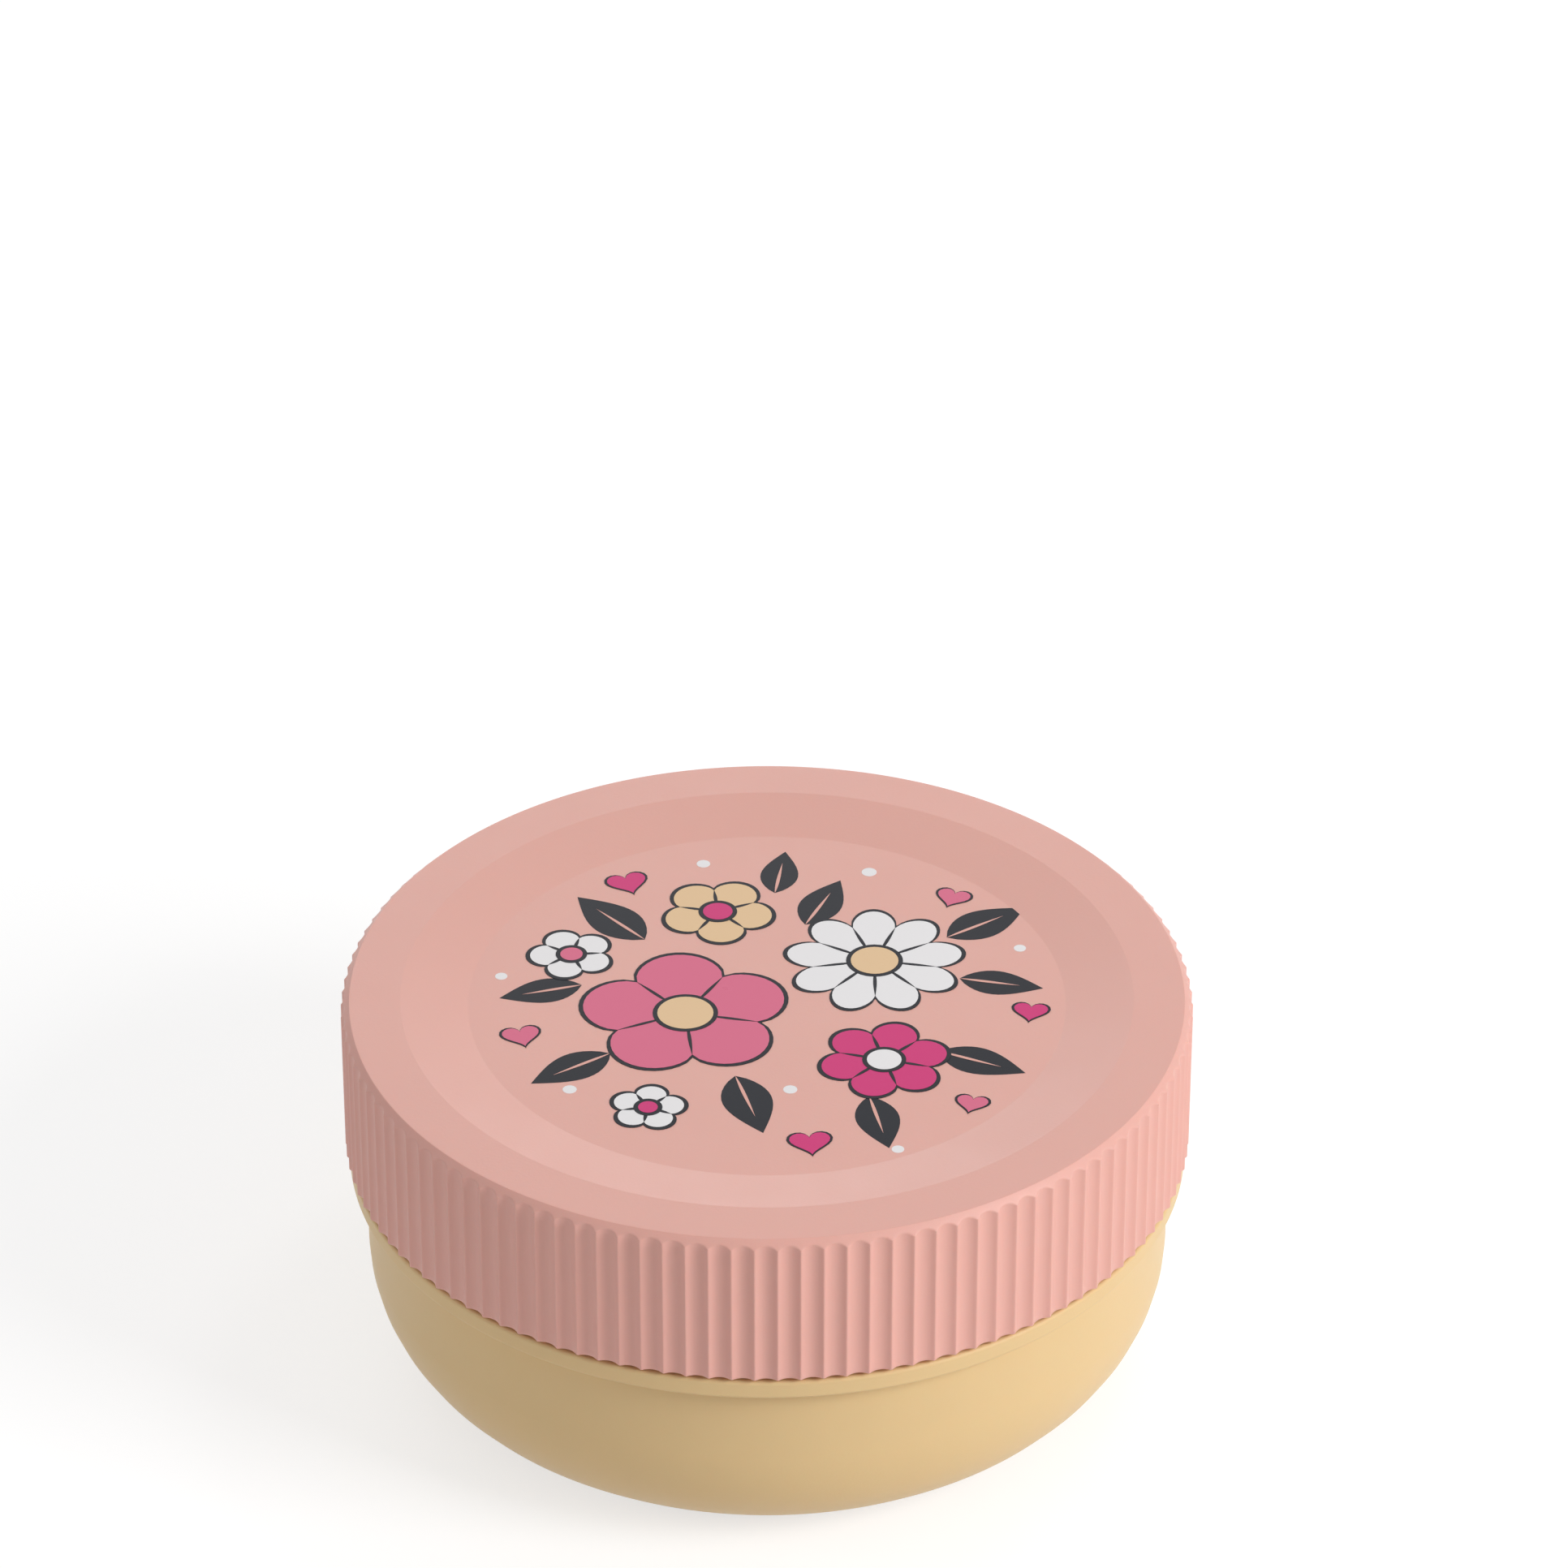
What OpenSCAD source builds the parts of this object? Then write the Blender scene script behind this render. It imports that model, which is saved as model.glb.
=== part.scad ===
// Round snack container for a toddler: a wide tub, a flat seal ring on its mouth and a fluted screw lid.
// Millimetres, +Z up, origin at the centre of the base. The container is drawn closed and standing.

/* [Tub] */
// Height of the tub from the table to its rim
tub_h = 48.5; // [46:0.5:60]
// Outer diameter of the neck and rim
neck_d = 101; // [100:0.5:101.5]
// Inner diameter of the mouth
mouth_d = 97; // [94:0.5:97]
// Outer diameter of the bowl below the collar
bowl_d = 104.8; // [102:0.1:106]
// Radius of the round between the bowl's side and its base
bowl_round = 17; // [12:0.5:20]
// Radius of the round between the inner wall and the floor
floor_round = 11; // [8:0.5:14]
// Height of the inner floor above the table
floor_h = 8; // [6.5:0.5:9]
// Height of the hollow under the base
base_hollow_h = 5.4; // [2.5:0.1:5.4]
// Diameter of the hollow under the base
base_hollow_d = 62; // [40:1:64]

/* [Collar] */
// Outer diameter of the collar that the lid closes down to
collar_d = 109; // [107:0.5:110]
// Thickness of the collar
collar_t = 2.6; // [2:0.1:4]
// Depth of the collar's top face below the rim
neck_h = 17.1; // [16.5:0.1:18]

/* [Thread] */
// Rise of the thread in one turn
thread_lead = 5.3; // [5.2:0.1:6]
// Turns of the rib on the neck
neck_turns = 1.5; // [1:0.05:1.6]
// Turns of the rib inside the lid
lid_turns = 0.85; // [0.6:0.05:0.85]
// Height that the neck's rib stands out from the neck
neck_rib_h = 1.95; // [1.5:0.05:2]
// Depth of the start of the neck's rib below the rim
rib_start = 4.9; // [4:0.1:5.5]
// Direction of the start of the neck's rib, counted from +X
rib_start_angle = 256; // [0:1:359]

/* [Seal] */
// Outer diameter of the seal ring
seal_d = 102.4; // [102:0.1:102.6]
// Inner diameter of the seal ring
seal_hole_d = 92; // [90:0.5:93]
// Thickness of the seal ring above the rim
seal_t = 2.4; // [2:0.1:3]
// Depth of the seal's outer skirt below the rim
seal_skirt_h = 0.6; // [0.4:0.1:1]
// Direction of the pull tab, counted from +X
tab_angle = 155.5; // [0:0.5:359.5]
// Angle that the pull tab takes up on the ring
tab_span = 23; // [16:1:30]
// Length of the pull tab, towards the axis
tab_reach = 5.4; // [4:0.1:7]

/* [Lid] */
// Diameter of the lid over the ridges between its flutes
lid_d = 110; // [109.8:0.1:111]
// Width and height of the bevel around the lid's top
bevel = 1.1; // [0.8:0.05:1.4]
// Thickness of the lid's top wall at its edge
lid_top_t = 2.2; // [1.8:0.1:2.6]
// Number of hollow flutes around the skirt
flute_count = 120; // [90:1:120]
// Radius of a flute's hollow
flute_r = 2.1; // [1.8:0.05:2.1]
// Depth of a flute's hollow
flute_depth = 0.5; // [0.3:0.05:0.5]
// Inner diameter of the flat outer margin on top
dish_d = 94.6; // [90:0.2:98]
// Diameter of the flat panel in the middle of the dish
panel_d = 77.2; // [70:0.2:84]
// Depth of the panel below the margin
panel_depth = 1.4; // [0.8:0.1:1.6]

/* [Hidden] */
$fn = 96;
run_gap = 0.3; // gap between faces that turn past each other
seat_gap = 0.05; // gap between the lid's ceiling and the seal
skirt_gap = 0.6; // gap between the lid's skirt and the collar

neck_r = neck_d / 2;
mouth_r = mouth_d / 2;
bowl_r = bowl_d / 2;
collar_r = collar_d / 2;
collar_z = tub_h - neck_h;
rim_round = 0.5;
collar_fillet = 1.2;
collar_round = 0.6;
hollow_round = 2;

rib_r = neck_r + neck_rib_h;
rib_land = 0.8; // straight outer face of a rib
rib_root = 0.35; // part of a rib that is sunk in its wall
rib_fall = 0.4; // fall of a rib's top flank for each mm that it goes out
rib_slope = 1.5; // fall of a rib's underside for each mm that it goes in
rib_sunk = 0.2; // depth below the wall's face at which a rib's end dies away
crest_z = -neck_rib_h * rib_fall; // outer edge of a rib's top flank, from its root
lid_rib_root = 0.45; // part of the lid's rib that is sunk in the lid's wall
lid_rib_behind = 100; // degrees that the lid's rib starts behind the neck's
rib_step = 6; // degrees between two sections of a rib
rib_fade = 7; // degrees in which a rib's end rounds off
fade_parts = [0, 0.04, 0.15, 0.35, 0.65];

seal_r = seal_d / 2;
seal_hole_r = seal_hole_d / 2;
seal_z = tub_h + seal_t;
seal_round = 0.4;
tab_t = 1.2;
tab_drop = 1.7; // from the seal's underside down to the tab's top
web_t = 1.4;
web_r = mouth_r - 0.7;

ceiling_z = seal_z + seat_gap;
lid_top_z = ceiling_z + lid_top_t;
skirt_z = collar_z + skirt_gap;
lid_wall_r = rib_r + run_gap;
lid_rib_r = seal_r + run_gap;
lid_r = lid_d / 2;
flute_ring_r = lid_r - flute_depth + flute_r;
panel_t = 2;
plug_r = seal_hole_r - 0.2;
plug_t = 1.2;
plug_z = ceiling_z - 1.8;

// A spandrel: what a round of radius r takes off a square corner at the origin, in the +X +Y quarter.
module spandrel(r) {
    difference() {
        square(r);
        translate([r, r]) circle(r);
    }
}

// A rectangle from the axis out to radius r, between two heights.
module slab(r, z0, z1) {
    translate([0, z0]) square([r, z1 - z0]);
}

// Height of a thread's top flank at an angle travelled down the helix.
function helix_drop(turned) = thread_lead * turned / 360;

// Share of the rib's height that stands out at an angle from its nearer end: a quarter ellipse.
function fade(from_end) = from_end >= rib_fade ? 1 : sqrt(1 - pow(1 - from_end / rib_fade, 2));

// Angles at which a rib of the given length has a section, closer together where its ends round off.
function rib_stations(length) = concat(
    [for (f = fade_parts) f * rib_fade],
    [for (a = [rib_fade : rib_step : length - rib_fade]) a],
    [for (i = [len(fade_parts) - 1 : -1 : 0]) length - fade_parts[i] * rib_fade]
);

// A rib wound down a right-handed helix on a wall of radius base_r. Its section is a list of points
// [radius, height, 1 where the point stands out of the wall]; those sink into the wall at the rib's ends.
module helical_rib(section, base_r, start_z, start_angle, length) {
    stations = rib_stations(length);
    count = len(section);
    points = [
        for (turned = stations, p = section)
            let (
                share = fade(min(turned, length - turned)),
                sunk_r = base_r - sign(p[0] - base_r) * rib_sunk,
                r = p[2] == 1 ? sunk_r + (p[0] - sunk_r) * share : p[0],
                a = start_angle - turned
            )
            [r * cos(a), r * sin(a), start_z - helix_drop(turned) + p[1]]
    ];
    sides = [
        for (i = [0 : len(stations) - 2], j = [0 : count - 1])
            let (k = (j + 1) % count, a = i * count + j, b = i * count + k)
            each [[a, b, a + count], [b, b + count, a + count]]
    ];
    first = [for (j = [1 : count - 2]) [0, j + 1, j]];
    last_ring = (len(stations) - 1) * count;
    last = [for (j = [1 : count - 2]) [last_ring, last_ring + j, last_ring + j + 1]];
    polyhedron(points, concat(sides, first, last));
}

module tub_outline() {
    slab(bowl_r - bowl_round, 0, bowl_round);
    translate([bowl_r - bowl_round, bowl_round]) circle(bowl_round);
    slab(bowl_r, bowl_round, collar_z);
    difference() {
        slab(collar_r, collar_z - collar_t, collar_z);
        translate([collar_r, collar_z]) rotate(180) spandrel(collar_round);
        translate([collar_r, collar_z - collar_t]) rotate(90) spandrel(collar_round);
    }
    difference() {
        slab(neck_r, collar_z, tub_h);
        translate([neck_r, tub_h]) rotate(180) spandrel(rim_round);
    }
    translate([neck_r, collar_z]) spandrel(collar_fillet);
}

module tub_cavity() {
    slab(mouth_r - floor_round, floor_h, tub_h + 1);
    translate([mouth_r - floor_round, floor_h + floor_round]) circle(floor_round);
    slab(mouth_r, floor_h + floor_round, tub_h + 1);
    translate([mouth_r, tub_h]) rotate(-90) spandrel(rim_round);
}

module base_hollow() {
    difference() {
        slab(base_hollow_d / 2, -1, base_hollow_h);
        translate([base_hollow_d / 2, base_hollow_h]) rotate(180) spandrel(hollow_round);
    }
}

// Outer wall with the neck, its thread, the collar and the bowl, in one moulding.
module tub() {
    color([0.82, 0.70, 0.50]) {
        rotate_extrude() difference() {
            tub_outline();
            tub_cavity();
            base_hollow();
        }
        helical_rib(
            [
                [neck_r - rib_root, rib_root * rib_fall, 0],
                [rib_r, crest_z, 1],
                [rib_r, crest_z - rib_land, 1],
                [neck_r - rib_root, crest_z - rib_land - (neck_rib_h + rib_root) * rib_slope, 0]
            ],
            neck_r, tub_h - rib_start, rib_start_angle, 360 * neck_turns
        );
    }
}

module seal_outline() {
    difference() {
        translate([seal_hole_r, tub_h - seal_skirt_h]) square([seal_r - seal_hole_r, seal_t + seal_skirt_h]);
        translate([0, tub_h - seal_skirt_h - 1]) square([neck_r + 0.1, seal_skirt_h + 1]);
        translate([seal_r, seal_z]) rotate(180) spandrel(seal_round);
        translate([seal_hole_r, seal_z]) rotate(-90) spandrel(seal_round);
    }
}

// Half-moon tongue under the ring and the web that carries it.
module pull_tab() {
    top_z = tub_h - tab_drop;
    chord = seal_hole_r * sin(tab_span / 2);
    tongue_r = (chord * chord + tab_reach * tab_reach) / (2 * tab_reach);
    rotate(tab_angle) {
        translate([0, 0, top_z - tab_t]) intersection() {
            translate([seal_hole_r * cos(tab_span / 2) - tab_reach + tongue_r, 0, 0]) cylinder(h = tab_t, r = tongue_r);
            cylinder(h = tab_t, r = web_r);
        }
        rotate(-tab_span / 2) rotate_extrude(angle = tab_span)
            translate([web_r - web_t, top_z - tab_t]) square([web_t, tab_drop + tab_t + seal_t / 2]);
    }
}

// Soft ring that seals the lid to the rim.
module seal_ring() {
    color([0.92, 0.88, 0.89]) {
        rotate_extrude() seal_outline();
        pull_tab();
    }
}

module lid_outline() {
    polygon([
        [0, skirt_z],
        [lid_r, skirt_z],
        [lid_r, lid_top_z - bevel],
        [lid_r - bevel, lid_top_z],
        [0, lid_top_z]
    ]);
}

module lid_hollow() {
    slab(lid_wall_r, skirt_z - 1, plug_z);
    translate([seal_hole_r - 0.2, plug_z]) square([lid_wall_r - seal_hole_r + 0.2, ceiling_z - plug_z]);
    polygon([
        [0, plug_z - 1],
        [plug_r - plug_t, plug_z - 1],
        [plug_r - plug_t, ceiling_z - 0.2],
        [panel_d / 2, lid_top_z - panel_depth - panel_t],
        [0, lid_top_z - panel_depth - panel_t]
    ]);
}

module lid_dish() {
    polygon([
        [0, lid_top_z - panel_depth],
        [panel_d / 2, lid_top_z - panel_depth],
        [dish_d / 2, lid_top_z],
        [dish_d / 2, lid_top_z + 1],
        [0, lid_top_z + 1]
    ]);
}

// The hollows of all flutes. Each is an upright scoop that runs out through the bevel in an arch.
module flutes() {
    for (i = [0 : flute_count - 1]) rotate(i * 360 / flute_count)
        translate([flute_ring_r, 0, skirt_z - 1]) cylinder(h = lid_top_z - skirt_z + 2, r = flute_r, $fn = 48);
}

// Screw lid: dished top, fluted skirt and a rib that runs under the neck's rib.
module lid() {
    color([0.87, 0.68, 0.65]) {
        difference() {
            rotate_extrude() lid_outline();
            rotate_extrude() lid_hollow();
            rotate_extrude() lid_dish();
            flutes();
        }
        lid_rib();
    }
}

// The lid's rib runs in the groove under the neck's rib. Its top flank is parallel to that rib's underside.
module lid_rib() {
    depth = lid_wall_r - lid_rib_r;
    root_r = lid_wall_r + lid_rib_root;
    flank_gap = run_gap * sqrt(1 + rib_slope * rib_slope);
    top_at_tip = crest_z - rib_land - (rib_r - lid_rib_r) * rib_slope - flank_gap;
    top_at_root = top_at_tip + (depth + lid_rib_root) * rib_slope;
    bottom = -thread_lead - (lid_rib_r - neck_r) * rib_fall + run_gap;
    helical_rib(
        [
            [root_r, top_at_root, 0],
            [root_r, bottom, 0],
            [lid_rib_r, bottom, 1],
            [lid_rib_r, top_at_tip, 1]
        ],
        lid_wall_r, tub_h - rib_start - helix_drop(lid_rib_behind), rib_start_angle - lid_rib_behind,
        360 * lid_turns
    );
}

tub();
seal_ring();
lid();
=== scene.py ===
import math

import bmesh
import bpy
from mathutils import Matrix, Vector


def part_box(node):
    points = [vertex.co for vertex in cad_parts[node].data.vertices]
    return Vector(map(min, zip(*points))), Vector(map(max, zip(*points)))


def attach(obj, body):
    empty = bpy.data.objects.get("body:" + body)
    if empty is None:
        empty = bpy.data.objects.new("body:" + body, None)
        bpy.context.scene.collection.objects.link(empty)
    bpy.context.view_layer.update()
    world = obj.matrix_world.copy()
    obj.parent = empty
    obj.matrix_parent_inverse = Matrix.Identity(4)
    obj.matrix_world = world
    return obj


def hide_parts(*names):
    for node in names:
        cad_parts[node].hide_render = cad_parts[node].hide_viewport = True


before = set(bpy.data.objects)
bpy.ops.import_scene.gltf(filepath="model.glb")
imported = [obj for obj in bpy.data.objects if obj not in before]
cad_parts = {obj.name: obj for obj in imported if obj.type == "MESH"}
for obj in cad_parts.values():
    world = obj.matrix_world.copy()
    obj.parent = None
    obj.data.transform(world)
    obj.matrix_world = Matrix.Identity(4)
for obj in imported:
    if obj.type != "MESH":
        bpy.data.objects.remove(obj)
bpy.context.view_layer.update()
mm = 0.001  # lengths below are in millimetres, and Blender's are in metres
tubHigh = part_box("tub")[1] / mm
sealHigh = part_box("seal_ring")[1] / mm
lidLow, lidHigh = (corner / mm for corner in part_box("lid"))
print("frame loaded")


# Helpers for outlines and meshes

def roundedPath(corners, closed=False, arcSteps=6, support=0.2):
    # corners are (radius, height, round); every round becomes an arc, and a long side gets a point near each end
    points = []
    longSide = 4 * support
    for i, (radius, height, bend) in enumerate(corners):
        here = Vector((radius, height))
        if bend == 0 or (not closed and i in (0, len(corners) - 1)):
            points.append(here)
            continue
        before = Vector(corners[i - 1][:2]) - here
        after = Vector(corners[(i + 1) % len(corners)][:2]) - here
        half = before.angle(after) / 2
        reach = bend / math.tan(half)
        sweep = math.pi - 2 * half
        middle = (before.normalized() + after.normalized()).normalized()
        centre = here + middle * bend / math.sin(half)
        start = here + before.normalized() * reach - centre
        end = here + after.normalized() * reach - centre
        if before.length - reach > longSide:
            points.append(centre + start + before.normalized() * support)
        for k in range(arcSteps + 1):
            share = k / arcSteps
            swung = start * math.sin((1 - share) * sweep) + end * math.sin(share * sweep)
            points.append(centre + swung / math.sin(sweep))
        if after.length - reach > longSide:
            points.append(centre + end + after.normalized() * support)
    return points


def arcPoints(radius, centre, fromDegrees, toDegrees, steps):
    angles = [math.radians(fromDegrees + (toDegrees - fromDegrees) * k / steps) for k in range(steps + 1)]
    return [Vector((centre[0] + radius * math.cos(a), centre[1] + radius * math.sin(a))) for a in angles]


def turned(points, degrees):
    spin = Matrix.Rotation(math.radians(degrees), 2)
    return [spin @ point for point in points]


def around(radius, angle, height):
    return Vector((radius * math.cos(angle), radius * math.sin(angle), height)) * mm


def ringOfVerts(shape, radius, height, angles):
    if radius < 0.001:  # on the axis
        return [shape.verts.new((0, 0, height * mm))] * len(angles)
    return [shape.verts.new(around(radius, angle, height)) for angle in angles]


def bridge(shape, rowA, rowB, wrap=False):
    steps = len(rowA) if wrap else len(rowA) - 1
    for i in range(steps):
        j = (i + 1) % len(rowA)
        corners = list(dict.fromkeys([rowA[i], rowA[j], rowB[j], rowB[i]]))
        if len(corners) > 2:
            shape.faces.new(corners)


def makeObject(name, shape):
    mesh = bpy.data.meshes.new(name)
    shape.to_mesh(mesh)
    shape.free()
    mesh.shade_smooth()
    piece = bpy.data.objects.new(name, mesh)
    bpy.context.scene.collection.objects.link(piece)
    return piece


def latheObject(name, points, columns=300, closed=False):
    shape = bmesh.new()
    angles = [2 * math.pi * i / columns for i in range(columns)]
    rings = [ringOfVerts(shape, radius, height, angles) for radius, height in points]
    for ringA, ringB in zip(rings, rings[1:] + (rings[:1] if closed else [])):
        bridge(shape, ringA, ringB, wrap=True)
    bmesh.ops.recalc_face_normals(shape, faces=shape.faces)
    return makeObject(name, shape)


def addPlate(shape, outline, low, high, bend=0.0, steps=3):
    # a closed plate over a flat outline, with its rims rounded by insetting the outline
    count = len(outline)
    area = sum(a.x * b.y - b.x * a.y for a, b in zip(outline, outline[1:] + outline[:1]))
    inward = []
    for i in range(count):
        along = outline[(i + 1) % count] - outline[i - 1]
        inward.append(Vector((-along.y, along.x)).normalized() * (1 if area > 0 else -1))
    quarter = [math.pi / 2 * k / steps for k in range(steps + 1)] if bend else [math.pi / 2]
    levels = [(bend * (1 - math.sin(a)), low + bend * (1 - math.cos(a))) for a in quarter]
    levels += [(inset, high + low - height) for inset, height in reversed(levels)]
    loops = []
    for inset, height in levels:
        flat = [point + shift * inset for point, shift in zip(outline, inward)]
        loops.append([shape.verts.new((point.x * mm, point.y * mm, height * mm)) for point in flat])
    for loopA, loopB in zip(loops, loops[1:]):
        bridge(shape, loopA, loopB, wrap=True)
    shape.faces.new(loops[0])
    shape.faces.new(loops[-1])


def faceOutwards(mesh):
    # also says how many edges are open
    shape = bmesh.new()
    shape.from_mesh(mesh)
    bmesh.ops.recalc_face_normals(shape, faces=shape.faces)
    openEdges = sum(1 for edge in shape.edges if not edge.is_manifold)
    shape.to_mesh(mesh)
    shape.free()
    return openEdges


def bakeModifiers(piece):
    depsgraph = bpy.context.evaluated_depsgraph_get()
    piece.data = bpy.data.meshes.new_from_object(piece.evaluated_get(depsgraph))
    piece.modifiers.clear()


def fuse(piece, other):
    union = piece.modifiers.new("fuse", "BOOLEAN")
    union.operation = "UNION"
    union.solver = "EXACT"
    union.object = other
    bakeModifiers(piece)
    bpy.data.objects.remove(other)


def joinInto(piece, other):
    shape = bmesh.new()
    shape.from_mesh(piece.data)
    shape.from_mesh(other.data)
    shape.to_mesh(piece.data)
    shape.free()
    bpy.data.objects.remove(other)


# Helpers for node trees

def addNode(tree, kind, feeds=None, **settings):
    node = tree.nodes.new(kind)
    for key, value in settings.items():
        setattr(node, key, value)
    for socket, value in (feeds or {}).items():
        if isinstance(value, bpy.types.NodeSocket):
            tree.links.new(value, node.inputs[socket])
        else:
            node.inputs[socket].default_value = value
    node.location = (180 * len(tree.nodes), 0)
    return node


def calc(tree, operation, a, b=0.0, clamp=False):
    return addNode(tree, "ShaderNodeMath", {0: a, 1: b}, operation=operation, use_clamp=clamp).outputs[0]


def fromAxis(tree, place):
    # distance from the Z axis
    flat = addNode(tree, "ShaderNodeCombineXYZ", {"X": place[0], "Y": place[1]})
    return addNode(tree, "ShaderNodeVectorMath", {0: flat.outputs[0]}, operation="LENGTH").outputs["Value"]


def newTree(name, kind, inputs, outputs):
    tree = bpy.data.node_groups.new(name, kind)
    for inOut, sockets in (("INPUT", inputs), ("OUTPUT", outputs)):
        for label, socketType in sockets.items():
            tree.interface.new_socket(name=label, in_out=inOut, socket_type="NodeSocket" + socketType)
    return tree, tree.nodes.new("NodeGroupInput").outputs, tree.nodes.new("NodeGroupOutput").inputs


def runTree(piece, tree, values):
    modifier = piece.modifiers.new(tree.name, "NODES")
    modifier.node_group = tree
    for socket in tree.interface.items_tree:
        if socket.in_out == "INPUT" and socket.name in values:
            modifier[socket.identifier] = values[socket.name]
    bakeModifiers(piece)
    piece.data.materials.clear()  # leaves one slot, without the empty one that the bare outline had
    piece.data.materials.append(values["Material"])
    piece.data.polygons.foreach_set("material_index", [0] * len(piece.data.polygons))


def buildRotaryTree():
    # repeats the object's own mesh around the Z axis and welds the seams
    tree, given, result = newTree(
        "rotaryRepeat", "GeometryNodeTree",
        {"Geometry": "Geometry", "Count": "Int", "Weld": "Float", "Material": "Material"},
        {"Geometry": "Geometry"},
    )
    points = addNode(tree, "GeometryNodePoints", {"Count": given["Count"]})
    index = addNode(tree, "GeometryNodeInputIndex")
    step = calc(tree, "DIVIDE", 2 * math.pi, given["Count"])
    angle = calc(tree, "MULTIPLY", index.outputs[0], step)
    turn = addNode(tree, "FunctionNodeAxisAngleToRotation", {"Axis": (0, 0, 1), "Angle": angle})
    copies = addNode(tree, "GeometryNodeInstanceOnPoints", {
        "Points": points.outputs[0], "Instance": given["Geometry"], "Rotation": turn.outputs[0],
    })
    real = addNode(tree, "GeometryNodeRealizeInstances", {"Geometry": copies.outputs[0]})
    weld = addNode(tree, "GeometryNodeMergeByDistance", {"Geometry": real.outputs[0], "Distance": given["Weld"]})
    paint = addNode(tree, "GeometryNodeSetMaterial", {"Geometry": weld.outputs[0], "Material": given["Material"]})
    tree.links.new(paint.outputs[0], result["Geometry"])
    return tree


def buildThreadTree():
    # sweeps the object's own outline up a right-handed helix; both ends of the rib die away into the wall
    tree, given, result = newTree(
        "threadRib", "GeometryNodeTree",
        {
            "Geometry": "Geometry", "Turns": "Float", "Lead": "Float", "Wall Radius": "Float", "Side": "Float",
            "Sunk": "Float", "Fade Turns": "Float", "Top Height": "Float", "Top Angle": "Float",
            "Points Per Turn": "Int", "Material": "Material",
        },
        {"Geometry": "Geometry"},
    )
    height = calc(tree, "MULTIPLY", given["Turns"], given["Lead"])
    spiral = addNode(tree, "GeometryNodeCurveSpiral", {
        "Resolution": given["Points Per Turn"], "Rotations": given["Turns"], "Height": height,
        "Start Radius": given["Wall Radius"], "End Radius": given["Wall Radius"], "Reverse": True,
    })
    upright = addNode(tree, "GeometryNodeSetCurveNormal", {"Curve": spiral.outputs[0]}, mode="Z_UP")
    factor = addNode(tree, "GeometryNodeSplineParameter").outputs["Factor"]
    marked = addNode(tree, "GeometryNodeStoreNamedAttribute", {
        "Geometry": upright.outputs[0], "Name": "along", "Value": factor,
    })
    section = addNode(tree, "GeometryNodeMeshToCurve", {"Mesh": given["Geometry"]})
    sweep = addNode(tree, "GeometryNodeCurveToMesh", {
        "Curve": marked.outputs[0], "Profile Curve": section.outputs[0], "Fill Caps": True,
    })
    # share of the rib's height that stands out: a quarter ellipse from either end
    along = addNode(tree, "GeometryNodeInputNamedAttribute", {"Name": "along"}).outputs[0]
    nearEnd = calc(tree, "MINIMUM", along, calc(tree, "SUBTRACT", 1.0, along))
    turnsIn = calc(tree, "MULTIPLY", nearEnd, given["Turns"])
    missing = calc(tree, "SUBTRACT", 1.0, calc(tree, "DIVIDE", turnsIn, given["Fade Turns"]), clamp=True)
    share = calc(tree, "SQRT", calc(tree, "SUBTRACT", 1.0, calc(tree, "MULTIPLY", missing, missing)))
    # the points that stand out of the wall are moved in or out by that share
    position = addNode(tree, "GeometryNodeInputPosition").outputs[0]
    place = addNode(tree, "ShaderNodeSeparateXYZ", {0: position}).outputs
    radius = fromAxis(tree, place)
    proud = calc(tree, "MULTIPLY", calc(tree, "SUBTRACT", radius, given["Wall Radius"]), given["Side"])
    sunkRadius = calc(tree, "SUBTRACT", given["Wall Radius"], calc(tree, "MULTIPLY", given["Side"], given["Sunk"]))
    faded = calc(tree, "MULTIPLY", calc(tree, "SUBTRACT", radius, sunkRadius), share)
    newRadius = calc(tree, "ADD", sunkRadius, faded)
    scale = calc(tree, "DIVIDE", newRadius, radius)
    moved = addNode(tree, "ShaderNodeCombineXYZ", {
        "X": calc(tree, "MULTIPLY", place[0], scale), "Y": calc(tree, "MULTIPLY", place[1], scale), "Z": place[2],
    })
    standsOut = calc(tree, "GREATER_THAN", proud, 0.0)
    placed = addNode(tree, "GeometryNodeSetPosition", {
        "Geometry": sweep.outputs[0], "Selection": standsOut, "Position": moved.outputs[0],
    })
    turnBack = calc(tree, "SUBTRACT", given["Top Angle"], calc(tree, "MULTIPLY", given["Turns"], 2 * math.pi))
    spin = addNode(tree, "FunctionNodeAxisAngleToRotation", {"Axis": (0, 0, 1), "Angle": turnBack})
    shift = addNode(tree, "ShaderNodeCombineXYZ", {"Z": calc(tree, "SUBTRACT", given["Top Height"], height)})
    seated = addNode(tree, "GeometryNodeTransform", {
        "Geometry": placed.outputs[0], "Translation": shift.outputs[0], "Rotation": spin.outputs[0],
    })
    clean = addNode(tree, "GeometryNodeRemoveAttribute", {"Geometry": seated.outputs[0], "Name": "along"})
    smooth = addNode(tree, "GeometryNodeSetShadeSmooth", {"Geometry": clean.outputs[0]})
    real = addNode(tree, "GeometryNodeRealizeInstances", {"Geometry": smooth.outputs[0]})
    paint = addNode(tree, "GeometryNodeSetMaterial", {"Geometry": real.outputs[0], "Material": given["Material"]})
    tree.links.new(paint.outputs[0], result["Geometry"])
    return tree


rotaryTree = buildRotaryTree()
threadTree = buildThreadTree()


# Materials

mould = {
    # scale and detail of each noise; the grain's scale is the material's own
    "cloudScale": 28.0,
    "cloudDetail": 3.0,
    "grainDetail": 2.0,
    "scuffScale": 160.0,
    "scuffDetail": 4.0,
    "scuffSwing": 0.12,  # how much the roughness changes from patch to patch
}


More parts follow.
